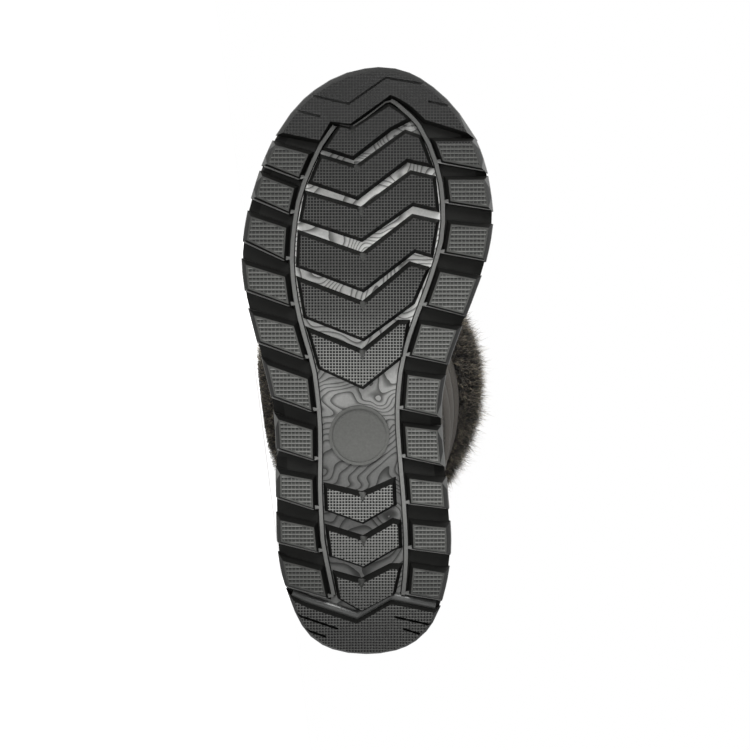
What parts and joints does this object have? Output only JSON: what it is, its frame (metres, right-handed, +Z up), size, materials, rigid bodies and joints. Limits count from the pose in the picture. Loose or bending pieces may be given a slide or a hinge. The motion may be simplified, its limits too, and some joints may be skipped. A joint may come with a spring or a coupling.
{
  "type": "apres-ski boot",
  "caption": "Apres-ski boot for the right foot with a lugged rubber sole, a soft quilted shaft and a fur cuff, lying on its outer side.",
  "frame": {"origin": "centre of the bounding box at floor level, the boot lying on its outer side", "axes": "+Y from heel to toe, +Z up from the floor towards the inner side of the boot, +X from the sole towards the collar"},
  "size_m": [0.2632, 0.2828, 0.1352],
  "materials": {
    "sole_rubber": "satin moulded rubber",
    "shaft_fabric": "soft woven textile",
    "insole_felt": "felt",
    "fur": "dense short fur"
  },
  "bodies": {
    "root": {"outsole": "sole_rubber", "upper": "shaft_fabric", "insole": "insole_felt", "fur_cuff": "fur"}
  },
  "joints": []
}
